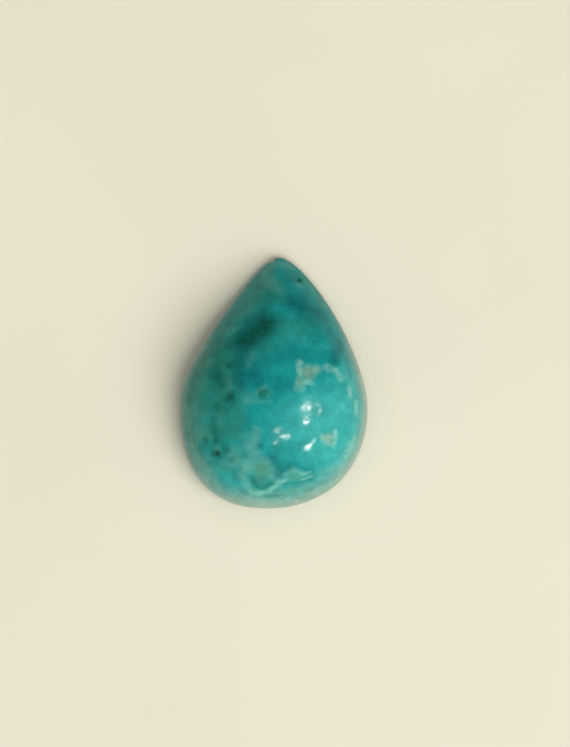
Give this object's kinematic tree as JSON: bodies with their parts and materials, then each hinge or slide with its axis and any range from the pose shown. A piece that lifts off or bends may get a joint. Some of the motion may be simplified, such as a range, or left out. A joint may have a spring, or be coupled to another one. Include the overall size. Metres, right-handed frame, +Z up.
{
  "type": "turquoise cabochon",
  "caption": "Pear-shaped cabochon of mottled blue-green turquoise, with a polished high dome and a flat lapped back to set or rest it on.",
  "frame": {"origin": "middle of the stone's length and width, on the flat back", "axes": "+Z up out of the dome, +Y along the stone's length towards its point, +X to the right seen from above with the point away from the viewer"},
  "size_m": [0.0118, 0.016, 0.0053],
  "materials": {
    "polished_turquoise": "polished dome with a soft gloss; finely ground matte back"
  },
  "bodies": {
    "root": {"turquoise_stone": "polished_turquoise"}
  },
  "joints": []
}
